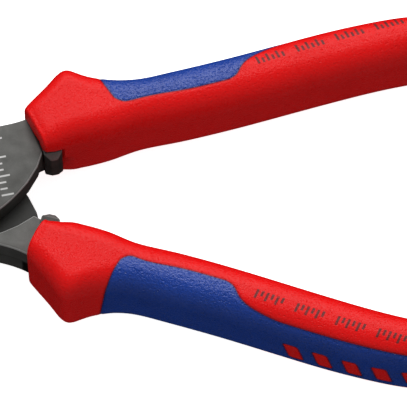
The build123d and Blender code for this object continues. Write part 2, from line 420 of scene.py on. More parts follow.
class Tree:
    """A material's node tree, with one way to add a node."""

    def __init__(self, name: str) -> None:
        """Start an empty material.

        Args:
            name: Name of the material.
        """
        self.material = bpy.data.materials.new(name)
        self.material.use_nodes = True
        self.tree = self.material.node_tree
        self.tree.nodes.clear()

    def node(self, kind: str, settings: dict | None = None, **sockets: object) -> bpy.types.Node:
        """Add a node.

        Args:
            kind: Blender's node type name.
            settings: Attributes set before the sockets; ramp stops go under "stops".
            **sockets: Values or links by socket name, with _ for a space, or by number as s0.

        Returns:
            The node.
        """
        made = self.tree.nodes.new(kind)
        for key, value in (settings or {}).items():
            if key == "stops":
                ramp = made.color_ramp
                while len(ramp.elements) < len(value):
                    ramp.elements.new(1.0)
                for stop, (place, colour) in zip(ramp.elements, value):
                    stop.position, stop.color = place, (*colour, 1)
            else:
                setattr(made, key, value)
        for key, value in sockets.items():
            spot = int(key[1:]) if key[0] == "s" and key[1:].isdigit() else key.replace("_", " ")
            if isinstance(value, (Value, bpy.types.NodeSocket)):
                source = value.socket if isinstance(value, Value) else value
                self.tree.links.new(source, made.inputs[spot])
            else:
                made.inputs[spot].default_value = value
        return made

    def math(self, operation: str, *terms: "Value | float") -> "Value":
        """One Math node.

        Args:
            operation: What the node does, by Blender's name.
            *terms: Values or plain numbers, in order.

        Returns:
            The node's result.
        """
        sockets = {f"s{i}": term for i, term in enumerate(terms)}
        return Value(self, self.node("ShaderNodeMath", {"operation": operation}, **sockets).outputs[0])

    def mix(self, share: "Value | float", first: object, second: object) -> bpy.types.NodeSocket:
        """Blend two colours.

        Args:
            share: Share of the second, from 0 to 1.
            first: Colour as a link or three numbers.
            second: Colour as a link or three numbers.

        Returns:
            The blended colour.
        """
        made = self.node("ShaderNodeMix", {"data_type": "RGBA"})
        for number, term in ((0, share), (6, first), (7, second)):
            if isinstance(term, (Value, bpy.types.NodeSocket)):
                source = term.socket if isinstance(term, Value) else term
                self.tree.links.new(source, made.inputs[number])
            else:
                made.inputs[number].default_value = (*term, 1) if isinstance(term, tuple) else term
        return made.outputs[2]

    def place(self, drawn: bool = True) -> tuple["Value", "Value", "Value", bpy.types.NodeSocket]:
        """Coordinates in millimetres, one by one and as a vector.

        Args:
            drawn: Whether to use the drawing coordinates kept on the mesh, or the object's own.

        Returns:
            The three numbers and the vector.
        """
        if drawn:
            scaled = self.node("ShaderNodeAttribute", {"attribute_name": "drawn"}).outputs["Vector"]
        else:
            coords = self.node("ShaderNodeTexCoord").outputs["Object"]
            larger = self.node("ShaderNodeVectorMath", {"operation": "SCALE"}, s0=coords, Scale=1 / MM)
            scaled = larger.outputs[0]
        split = self.node("ShaderNodeSeparateXYZ", s0=scaled).outputs
        return Value(self, split[0]), Value(self, split[1]), Value(self, split[2]), scaled

    def noise(
        self, vector: bpy.types.NodeSocket, scale: float, detail: float = 2.0, rough: float = 0.5
    ) -> "Value":
        """Noise from 0 to 1.

        Args:
            vector: Coordinates in millimetres.
            scale: How fine it is, per millimetre.
            detail: Number of finer layers.
            rough: Strength of the finer layers.

        Returns:
            The noise.
        """
        settings = {"noise_dimensions": "3D"}
        made = self.node(
            "ShaderNodeTexNoise", settings, Vector=vector, Scale=scale, Detail=detail, Roughness=rough
        )
        return Value(self, made.outputs[0])

    def attribute(self, name: str) -> "Value":
        """A number stored on the mesh."""
        return Value(self, self.node("ShaderNodeAttribute", {"attribute_name": name}).outputs["Fac"])

    def bump(self, height: "Value", distance: float, strength: float = 1.0) -> bpy.types.NodeSocket:
        """Normal from a height, with the full height's distance in millimetres."""
        made = self.node("ShaderNodeBump", Strength=strength, Distance=distance * MM, Height=height)
        return made.outputs[0]

    def finish(self, varying: dict[str, object], fixed: dict[str, object]) -> bpy.types.Material:
        """End the material in one Principled shader.

        Args:
            varying: Links by socket name.
            fixed: Plain values by socket name.

        Returns:
            The material.
        """
        shader = self.node("ShaderNodeBsdfPrincipled", None, **varying, **fixed)
        self.node("ShaderNodeOutputMaterial", None, Surface=shader.outputs[0])
        return self.material


class Value:
    """A number in a node tree that takes part in plain arithmetic."""

    def __init__(self, tree: Tree, socket: bpy.types.NodeSocket) -> None:
        """Wrap a socket of the tree."""
        self.tree, self.socket = tree, socket

    def __add__(self, other: "Value | float") -> "Value":
        """Sum."""
        return self.tree.math("ADD", self, other)

    __radd__ = __add__

    def __sub__(self, other: "Value | float") -> "Value":
        """Difference."""
        return self.tree.math("SUBTRACT", self, other)

    def __rsub__(self, other: float) -> "Value":
        """Reflected difference."""
        return self.tree.math("SUBTRACT", other, self)

    def __mul__(self, other: "Value | float") -> "Value":
        """Product."""
        return self.tree.math("MULTIPLY", self, other)

    __rmul__ = __mul__

    def __abs__(self) -> "Value":
        """Size without sign."""
        return self.tree.math("ABSOLUTE", self)

    def low(self, other: "Value | float") -> "Value":
        """The smaller of two."""
        return self.tree.math("MINIMUM", self, other)

    def high(self, other: "Value | float") -> "Value":
        """The larger of two."""
        return self.tree.math("MAXIMUM", self, other)

    def wrap(self, period: float) -> "Value":
        """Remainder, from 0 to the period."""
        return self.tree.math("FLOORED_MODULO", self, period)

    def step(self, start: float, end: float) -> "Value":
        """Smooth step from 0 to 1.

        Args:
            start: Value that gives 0.
            end: Value that gives 1, which may be the smaller.

        Returns:
            The step.
        """
        settings = {"interpolation_type": "SMOOTHSTEP", "clamp": True}
        made = self.tree.node("ShaderNodeMapRange", settings, s0=self, s1=start, s2=end, s3=0.0, s4=1.0)
        return Value(self.tree, made.outputs[0])

    def stretch(self, start: float, end: float, first: float, last: float) -> "Value":
        """Straight line between two results, level beyond them.

        Args:
            start: Value that gives the first result.
            end: Value that gives the last.
            first: First result.
            last: Last result.

        Returns:
            The result.
        """
        settings = {"clamp": True}
        made = self.tree.node("ShaderNodeMapRange", settings, s0=self, s1=start, s2=end, s3=first, s4=last)
        return Value(self.tree, made.outputs[0])


# ---------------------------------------------------------------- finishes


@dataclass(frozen=True)
class ForgedSteel:
    """Blackened, shot-blasted steel with worn edges that also carry a painted highlight, painted shade on
    the stop lug, the flanks and the lap face, a painted shadow in the crevice by the guard, a ground cutting
    bevel and light etched ticks.
    """

    name: str = "blackened_steel"
    dark: tuple[float, float, float] = (0.085, 0.085, 0.080)
    light: tuple[float, float, float] = (0.135, 0.135, 0.128)
    rubbed_and_highlight: tuple[float, float, float] = (0.46, 0.46, 0.45)
    painted_shade: tuple[float, float, float] = (0.030, 0.030, 0.028)
    ground: tuple[float, float, float] = (0.52, 0.53, 0.54)
    etched: tuple[float, float, float] = (0.55, 0.55, 0.54)
    shadow: tuple[float, float, float] = (0.004, 0.004, 0.004)
    lug_reach: float = 3.0
    lug_span: tuple[float, float] = (27.15, 31.45)
    guard_line: tuple[float, float] = (27.63, 0.185)
    marked: bool = True

    def material(self) -> bpy.types.Material:
        """Build the node tree.

        Returns:
            The material.
        """
        t = Tree(self.name + ("_marked" if self.marked else ""))
        x, y, z, spot = t.place()
        blotch = t.noise(spot, 0.35, 3.0)
        grain = t.noise(spot, 5.0, 3.0, 0.65)
        fine = t.noise(spot, 14.0, 2.0, 0.6)
        colour = t.mix((blotch * 0.6 + grain * 0.4).stretch(0.35, 0.65, 0.0, 1.0), self.dark, self.light)
        # Masks of the stop lug, the upright flanks and the lap face at the mating level, which get painted
        # shade below.
        start, end = self.lug_span
        lug = y.step(self.lug_reach + 0.6, self.lug_reach)
        lug = lug * x.step(start - 0.1, start) * x.step(end + 0.15, end)
        flank = t.attribute("flank")
        height = z - MID_Z
        lap = height.step(0.3, 0.1) * height.step(-0.3, -0.1)
        # Painted shade: the lug, the flanks and the lap face are darkened towards near black where shade
        # falls.
        colour = t.mix((lug * 0.6).high(flank * 0.45).high(lap * 0.8), colour, self.painted_shade)
        place, slope = self.guard_line
        crevice = (x + y * slope - place).step(-0.7, -0.3) * y.step(-1.5, -0.5) * (1 - lug)
        crevice = crevice * height.step(-0.5, 0.5)
        colour = t.mix(crevice * 0.9, colour, self.shadow)
        # Painted highlight: the rims are worn lighter by use and lightened further as a painted highlight
        # line along the edges.
        wear_and_highlight = t.attribute("edge") * (grain * 0.8 + 0.35).low(1.0) * (1 - lug * 0.6) * (1 - crevice)
        colour = t.mix(wear_and_highlight * 0.75, colour, self.rubbed_and_highlight)
        scratch = t.noise(self.stretched(t, spot), 1.0, 2.0, 0.7)
        ground = t.attribute("ground")
        colour = t.mix(ground, colour, self.ground)
        rough = 0.47 + grain * 0.12 - wear_and_highlight * 0.12
        rough = rough * (1 - ground) + ground * (0.22 + scratch * 0.16)
        metal = 0.4 + ground * 0.6
        if self.marked:
            ticks = self.ticks(x, y, z)
            colour = t.mix(ticks, colour, self.etched)
            rough = rough + ticks * 0.1
        relief = grain * 0.6 + fine * 0.4
        relief = relief * (1 - ground) + ground * scratch * 0.25
        bump = t.bump(relief, 0.05, 0.55)
        varying = {"Base_Color": colour, "Roughness": rough, "Metallic": metal, "Normal": bump}
        return t.finish(varying, {"Specular_IOR_Level": 0.5})

    @staticmethod
    def stretched(t: Tree, spot: bpy.types.NodeSocket) -> bpy.types.NodeSocket:
        """Coordinates drawn out across the edge, for grinding marks."""
        made = t.node("ShaderNodeVectorMath", {"operation": "MULTIPLY"}, s0=spot, s1=(9.0, 0.9, 0.9))
        return made.outputs[0]

    @staticmethod
    def ticks(x: Value, y: Value, z: Value) -> Value:
        """A short scale of etched ticks across the joint plate, every third one longer.

        Args:
            x: Distance along the lever.
            y: Distance across it.
            z: Level.

        Returns:
            A mask that is 1 on the ticks.
        """
        pitch, root, soft, top = 1.55, 16.2, 0.06, 14.9
        line = abs((y + 40.0).wrap(pitch) - pitch / 2).step(0.26, 0.16)
        reach = abs((y + 40.0).wrap(3 * pitch) - pitch / 2).step(1.0, 0.9) * 1.1 + 1.6
        across = (x - root).step(-soft, soft) * (root + reach - x).step(-soft, soft)
        along = (abs(y - 1.2) - 8.6).step(soft, -soft)
        return line * across * along * (z - top).step(0.0, 0.05)


@dataclass(frozen=True)
class MouldedGrip:
    """Moulded plastic with a fine sandy texture."""

    name: str
    base: tuple[float, float, float]
    deep: tuple[float, float, float]
    sheen: tuple[float, float, float]
    rough: float
    specular: float
    sand: float
    grain: float
    gap: tuple[float, float, float]
    inked: tuple[float, float, float] = (0.035, 0.02, 0.02)
    printed: bool = False

    def material(self) -> bpy.types.Material:
        """Build the node tree.

        Returns:
            The material.
        """
        t = Tree(self.name)
        x, y, z, spot = t.place()
        sand = t.noise(spot, self.grain, 2.0, 0.6)
        cloud = t.noise(spot, 0.12, 2.0)
        pits = t.noise(spot, 1.7, 1.0).step(0.60, 0.72)
        colour = t.mix(cloud.stretch(0.3, 0.7, 0.0, 1.0), self.base, self.deep)
        colour = t.mix(sand.stretch(0.45, 0.75, 0.0, 0.25), colour, self.sheen)
        colour = t.mix(t.attribute("seam") * 0.8, colour, self.gap)
        rough = self.rough + (sand - 0.5) * 0.25
        height = sand * 0.8 - pits * 0.35
        if self.printed:
            ink = self.ink(t, x, y, z, spot)
            colour = t.mix(ink, colour, self.inked)
            rough = rough + ink * 0.05
        varying = {"Base_Color": colour, "Roughness": rough, "Normal": t.bump(height, self.sand, 0.8)}
        return t.finish(varying, {"Specular_IOR_Level": self.specular})

    @staticmethod
    def ink(t: Tree, x: Value, y: Value, z: Value, spot: bpy.types.NodeSocket) -> Value:
        """A printed gauge on both faces: upright strokes in groups, tall and short in turn.

        Args:
            t: Tree of the material.
            x: Distance along the lever.
            y: Distance across it.
            z: Level.
            spot: The three as one vector.

        Returns:
            The ink's strength, from 0 to 1.
        """
        first, last, pitch, repeat, printed = 77.0, 113.0, 2.3, 9.2, 7.0
        along = x - 76.0
        centre = along * 0.135 - along * along * 0.0011 + 10.15 + (z - MID_Z).step(-0.5, 0.5) * 1.9
        off = y - centre
        beat = (x + off * 0.2 - first).wrap(pitch)
        tall = abs(off).step(1.15, 1.03) * abs(beat - 0.6).step(0.34, 0.22)
        low = abs(off + 0.4).step(0.76, 0.64) * abs(beat - 1.75).step(0.34, 0.22)
        group = (x - first).wrap(repeat)
        inside = group.step(0.0, 0.1) * group.step(printed, printed - 0.1)
        span = x.step(first - 0.1, first + 0.1) * x.step(last + 0.2, last)
        face = (abs(z - MID_Z) - 6.0).step(0.0, 0.3)
        worn = t.noise(spot, 4.0, 2.0).step(0.26, 0.40)
        return tall.high(low) * inside * span * face * worn * 0.85


@dataclass(frozen=True)
class TurnedSteel:
    """Blackened joint hardware with fine turning rings."""

    name: str = "turned_steel"
    dark: tuple[float, float, float] = (0.10, 0.10, 0.098)
    light: tuple[float, float, float] = (0.22, 0.22, 0.215)

    def material(self) -> bpy.types.Material:
        """Build the node tree.

        Returns:
            The material.
        """
        t = Tree(self.name)
        x, y, z, spot = t.place()
        radius = t.math("SQRT", x * x + y * y)
        rings = t.math("SINE", radius * 26.0)
        grain = t.noise(spot, 4.0, 3.0, 0.6)
        colour = t.mix((grain * 0.7 + rings * 0.06 + 0.15).low(1.0), self.dark, self.light)
        rough = 0.36 + grain * 0.16
        height = grain * 0.5 + rings * 0.12
        varying = {"Base_Color": colour, "Roughness": rough, "Normal": t.bump(height, 0.03, 0.6)}
        return t.finish(varying, {"Metallic": 0.85, "Specular_IOR_Level": 0.5})


@dataclass(frozen=True)
class Nylon:
    """Milky nylon of the locking ring."""

    name: str = "nylon"

    def material(self) -> bpy.types.Material:
        """Build the node tree.

        Returns:
            The material.
        """
        t = Tree(self.name)
        _, _, _, spot = t.place()
        cloud = t.noise(spot, 1.5, 2.0)
        colour = t.mix(cloud, (0.62, 0.63, 0.56), (0.72, 0.73, 0.66))
        varying = {"Base_Color": colour, "Roughness": 0.45 + cloud * 0.1, "Normal": t.bump(cloud, 0.03, 0.4)}
        return t.finish(varying, {"Specular_IOR_Level": 0.5})


@dataclass(frozen=True)
class HardCore:
    """Hidden hard plastic sleeve."""

    name: str = "core_plastic"

    def material(self) -> bpy.types.Material:
        """Build the node tree.

        Returns:
            The material.
        """
        t = Tree(self.name)
        _, _, _, spot = t.place(drawn=False)
        cloud = t.noise(spot, 0.8, 2.0)
        colour = t.mix(cloud, (0.03, 0.03, 0.032), (0.06, 0.06, 0.065))
        varying = {"Base_Color": colour, "Roughness": 0.5 + cloud * 0.1, "Normal": t.bump(cloud, 0.02, 0.4)}
        return t.finish(varying, {"Specular_IOR_Level": 0.4})


@dataclass(frozen=True)
class PaperFloor:
    """Plain pale surface under the tool."""

    name: str = "pale_floor"
    glow: float = 0.85

    def material(self) -> bpy.types.Material:
        """Build the node tree.

        Returns:
            The material.
        """
        t = Tree(self.name)
        _, _, _, spot = t.place(drawn=False)
        cloud = t.noise(spot, 0.02, 1.0)
        colour = t.mix(cloud, (0.86, 0.86, 0.86), (0.88, 0.88, 0.88))
        glow = {"Emission_Color": (1, 1, 1, 1), "Emission_Strength": self.glow}
        return t.finish({"Base_Color": colour}, {"Roughness": 0.9, "Specular_IOR_Level": 0.1, **glow})


# ---------------------------------------------------------------- grips


@dataclass
class Grip:
    """One moulded handle grip: a red body with a blue inlay on its outer side.

    A row of sections is a distance from the pivot, outer y, inner y, half height and corner radius.
    """

    side: Side
    sections: tuple[tuple[float, float, float, float, float], ...] = (
        (26.4, 11.2, 2.1, 8.4, 2.6),
        (26.6, 11.8, 1.5, 9.0, 3.0),
        (27.1, 12.6, 1.2, 9.4, 3.4),
        (28.2, 13.6, 1.2, 9.65, 3.9),
        (30.2, 15.3, 1.4, 9.85, 4.4),
        (33.0, 17.8, 1.7, 9.98, 4.8),
        (35.4, 19.9, 1.85, 9.98, 5.0),
        (37.0, 20.1, 1.85, 9.98, 5.05),
        (38.8, 19.1, 1.9, 9.94, 5.1),
        (40.9, 17.8, 2.0, 9.85, 5.15),
        (43.3, 16.75, 2.25, 9.75, 5.2),
        (46.0, 15.9, 2.65, 9.6, 5.3),
        (48.7, 15.4, 2.95, 9.5, 5.45),
        (51.5, 15.2, 3.0, 9.4, 5.6),
        (56.8, 15.3, 3.0, 9.4, 5.6),
        (62.2, 15.55, 3.15, 9.4, 5.6),
        (73.1, 16.2, 3.8, 9.4, 5.6),
        (84.2, 17.13, 4.73, 9.4, 5.6),
        (95.2, 17.95, 5.65, 9.45, 5.6),
        (106.2, 18.1, 6.36, 9.6, 5.5),
        (113.0, 17.6, 6.5, 9.7, 5.2),
        (119.0, 16.6, 6.2, 9.6, 4.9),
        (123.0, 15.6, 6.1, 9.1, 4.5),
        (125.4, 14.5, 6.6, 8.2, 3.8),
        (126.7, 13.2, 7.5, 6.9, 2.8),
        (127.1, 12.1, 8.5, 5.6, 1.7),
    )
    highest: float = 9.98
    notch_end: float = 33.0
    cap_start: float = 121.0
    fine_step: float = 0.14
    corner_points: int = 23
    face_tilt: float = 10.5
    tilt_end: float = 35.4
    pocket: tuple[float, float, float] = (29.25, -0.3, 3.2)
    flange: tuple[float, float, float] = (28.0, 35.0, 2.0)
    border_skew: float = 0.9
    front_slide: float = -0.9
    rear_slide: float = 1.0
    slide_end: tuple[float, float] = (38.0, 52.0)
    plan_reach: float = 60.0
    inlay_front: tuple[Point2, ...] = ((44.0, 18.0), (44.25, 16.0), (45.0, 12.4), (45.9, 9.6))
    inlay_lip: tuple[Point2, ...] = (
        (45.9, 9.6), (47.4, 8.4), (50.5, 8.35), (59.2, 8.4), (66, 8.6), (70.4, 8.9),
    )
    inlay_drop: tuple[Point2, ...] = (
        (70.4, 8.9), (72.2, 9.7), (73.6, 11.4), (76.3, 13.6), (80.0, 15.2), (84.5, 17.5),
    )
    stripe_half: float = 7.1
    stripe_level: float = -0.9
    stripe_start: float = 60.0
    stripe_end: float = 121.5
    stripe_inner: float = 11.5
    bar_first: float = 85.0
    bar_pitch: float = 6.6
    bar_count: int = 5
    bar_width: float = 3.4
    bar_half: float = 2.9
    bar_lean: float = 1.6
    bar_level: float = 1.0
    bar_corner: float = 0.7
    blend: float = 2.0
    groove_depth: float = 0.12
    groove_width: float = 0.32
    seam_width: float = 0.22
    step: float = 0.36

    def stations(self) -> np.ndarray:
        """Distances of the rings along the grip.

        Returns:
            Rising distances, closer together at both ends and at the lug notch.
        """
        first, last = self.sections[0][0], self.sections[-1][0]
        front = np.arange(first, self.notch_end, self.fine_step)
        middle = np.arange(self.notch_end, self.cap_start, self.step)
        back = self.cap_start + (last - self.cap_start) * np.sin(np.linspace(0, math.pi / 2, 26))
        return np.unique(np.concatenate([front, middle, back]))

    def ring(self, x: float, row: np.ndarray) -> np.ndarray:
        """One closed ring of points round the grip.

        Args:
            x: Distance of the ring's middle from the pivot.
            row: Outer y, inner y, half height and corner radius there.

        Returns:
            Points in the closed lever's frame.
        """
        outer, inner, half, corner = row
        share = max(self.tilt_end - x, 0) / (self.tilt_end - self.sections[0][0])
        tilt = math.radians(self.face_tilt * share)
        middle = (outer + inner) / 2
        half_width = (outer - inner) / 2 / math.cos(tilt)
        arc = np.linspace(0, math.pi / 2, self.corner_points)
        u, w = [], []
        for start, (sign_u, sign_w) in enumerate(((1, 1), (-1, 1), (-1, -1), (1, -1))):
            angle = arc + start * math.pi / 2
            u.append(sign_u * (half_width - corner) + corner * np.cos(angle))
            w.append(sign_w * (half - corner) + corner * np.sin(angle))
        loop_u, loop_w, wall = [], [], []
        for i, count in enumerate((16, 30, 16, 30)):
            loop_u += [u[i], np.linspace(u[i][-1], u[(i + 1) % 4][0], count)]
            loop_w += [w[i], np.linspace(w[i][-1], w[(i + 1) % 4][0], count)]
            wall += [np.zeros(len(arc)), np.full(count, 1.0 if i == 1 else 0.0)]
        across, up, inner_wall = np.concatenate(loop_u), np.concatenate(loop_w), np.concatenate(wall)
        along, aside = x - math.sin(tilt) * across, middle + math.cos(tilt) * across
        points = np.stack([along, aside, MID_Z + up], axis=1)
        first, last, amount = self.flange
        short = amount * (1 - smooth_share((along - first) / (last - first)))
        lean = np.clip((middle - aside) / (middle - inner), 0, 1)
        points[:, 1] += short * smooth_share((2.0 - up) / 4.0) * lean
        points[:, 0] += self.guard_slide(points)
        away = points[:, 0] - self.pocket[0]
        lip = self.pocket[1] + np.sqrt(np.maximum(self.pocket[2] ** 2 - away**2, 0))
        pressed = (inner_wall > 0) & (np.abs(away) < self.pocket[2])
        points[:, 1] = np.where(pressed, np.maximum(points[:, 1], lip), points[:, 1])
        return points

    def guard_slide(self, points: np.ndarray) -> np.ndarray:
        """How far the guard sits along the lever from its drawn place.

        Args:
            points: Points in the closed lever's frame.

        Returns:
            A slide along the lever for each point, in millimetres.
        """
        start, end = self.slide_end
        fade = 1 - smooth_share((points[:, 0] - start) / (end - start))
        if self.side is Side.REAR:
            return self.rear_slide * fade
        return self.front_slide * fade * np.clip((points[:, 1] - 4.0) / 9.0, 0, 1)

    def inlay(self, points: np.ndarray) -> np.ndarray:
        """Signed distance of points from the inlay's border.

        Args:
            points: Points in the closed lever's frame.

        Returns:
            Distances, positive inside the inlay.
        """
        plan = join_loop(
            smooth_line(list(self.inlay_front), 0.25),
            smooth_line(list(self.inlay_lip), 0.5),
            smooth_line(list(self.inlay_drop), 0.25),
            np.array([(self.inlay_drop[-1][0], self.plan_reach), (self.inlay_front[0][0], self.plan_reach)]),
        )
        front = np.clip((56.0 - points[:, 0]) / 8.0, 0, 1)
        skew = self.border_skew * np.clip((points[:, 2] - MID_Z) / 8.0, -1, 1) * front
        skew = skew - self.guard_slide(points)
        flat = loop_distance(points[:, :2] + np.outer(skew, (1.0, 0.0)), plan)
        middle = (self.stripe_start + self.stripe_end) / 2
        half = (self.stripe_end - self.stripe_start) / 2
        up = points[:, 2] - MID_Z
        stripe = rounded_box(
            points[:, 0] - middle, up - self.stripe_level, (half, self.stripe_half), self.stripe_half - 1
        )
        stripe = np.minimum(stripe, points[:, 1] - self.stripe_inner)
        near = np.maximum(self.blend - np.abs(flat - stripe), 0) / self.blend
        merged = np.maximum(flat, stripe) + near**2 * self.blend / 4
        up = up - self.bar_level
        for number in range(self.bar_count):
            lean = self.bar_lean * (up + self.bar_half) / (2 * self.bar_half)
            across = points[:, 0] - self.bar_first - number * self.bar_pitch - lean - self.bar_width / 2
            bar = rounded_box(across, up, (self.bar_width / 2, self.bar_half), self.bar_corner)
            bar = np.where(points[:, 1] > self.stripe_inner, bar, -9.0)
            merged = np.minimum(merged, -bar)
        return merged

    def surface(self) -> tuple[np.ndarray, np.ndarray, int]:
        """Ring points of the whole grip with the parting groove pressed in.

        Returns:
            Points, the inlay distance of each, and the number of points in a ring.
        """
        table = np.array(self.sections)
        xs = self.stations()
        rows = cubic_through(table[:, 0], table[:, 1:], xs)
        rows[:, 2] = np.minimum(rows[:, 2], self.highest)
        rows[:, 3] = np.minimum(rows[:, 3], np.minimum(rows[:, 2], (rows[:, 0] - rows[:, 1]) / 2) - 0.05)
        grid = np.stack([self.ring(x, row) for x, row in zip(xs, rows)])
        along = np.gradient(grid, axis=0)
        round_ = np.roll(grid, -1, axis=1) - np.roll(grid, 1, axis=1)
        normal = np.cross(round_, along)
        normal /= np.maximum(np.linalg.norm(normal, axis=2, keepdims=True), 1e-9)
        outward = grid - grid.mean(axis=1, keepdims=True)
        normal *= np.sign(np.sum(normal * outward, axis=2, keepdims=True) + 1e-12)
        distance = self.inlay(grid.reshape(-1, 3)).reshape(grid.shape[:2])
        press = self.groove_depth * np.exp(-((distance / self.groove_width) ** 2))
        grid = grid - normal * press[..., None]
        return grid.reshape(-1, 3), distance.reshape(-1), grid.shape[1]

    def split(self) -> tuple[np.ndarray, np.ndarray, tuple[list, list]]:
        """Cut the surface along the inlay's border.

        Returns:
            Points, their nearness to the border, and the faces of the body and of the inlay.
        """
        points, distance, round_count = self.surface()
        least = 0.02
        distance = np.where(np.abs(distance) < least, np.where(distance < 0, -least, least), distance)
        rings = len(points) // round_count
        extra: list[np.ndarray] = []
        crossing: dict[tuple[int, int], int] = {}
        sides: tuple[list, list] = ([], [])

        def cross(a: int, b: int) -> int:
            """Number of the border point between two points.

            Args:
                a: Number of the point on one side.
                b: Number of the point on the other side.

            Returns:
                The number of the new point.
            """
            key = (min(a, b), max(a, b))
            if key not in crossing:
                share = distance[a] / (distance[a] - distance[b])
                crossing[key] = len(points) + len(extra)
                extra.append(points[a] + (points[b] - points[a]) * share)
            return crossing[key]

        for quad in ring_faces(rings, round_count):
            inside = [distance[q] > 0 for q in quad]
            if all(inside) or not any(inside):
                sides[int(inside[0])].append(quad)
                continue
            for which in (0, 1):
                face = []
                for q, p in zip(quad, quad[1:] + quad[:1]):
                    if (distance[q] > 0) == bool(which):
                        face.append(q)
                    if (distance[q] > 0) != (distance[p] > 0):
                        face.append(cross(q, p))
                if len(face) > 2:
                    sides[which].append(face)
        sides[0].append(list(range(round_count))[::-1])
        sides[0].append([(rings - 1) * round_count + k for k in range(round_count)])
        everything = np.concatenate([points, np.array(extra)])
        nearness = np.concatenate([np.exp(-((distance / self.seam_width) ** 2)), np.ones(len(extra))])
        return everything, nearness, sides

    def build(self, red: bpy.types.Material, blue: bpy.types.Material) -> None:
        """Make both pieces, dress them and put them on their lever.

        Args:
            red: Finish of the body.
            blue: Finish of the inlay.
        """
        points, nearness, sides = self.split()
        for part, shape, finish, slot in (
            ("body", sides[0], red, "grip_red"), ("inlay", sides[1], blue, "grip_blue"),
        ):
            used = sorted({v for face in shape for v in face})
            number = {v: i for i, v in enumerate(used)}
            faces = [[number[v] for v in face] for face in shape]
            piece = new_piece(f"{self.side.value}_grip_{part}_look", points[used], faces)
            seam = piece.data.attributes.new("seam", "FLOAT", "POINT")
            seam.data.foreach_set("value", nearness[used])
            tidy_mesh(piece, 50)
            settle(piece, self.side)
            piece.data.materials.append(finish)
            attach(piece, self.side.body)
            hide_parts(f"{self.side.value}_grip_{part}")
            LOG.info("%s: %d faces", piece.name, len(piece.data.polygons))


# ---------------------------------------------------------------- levers


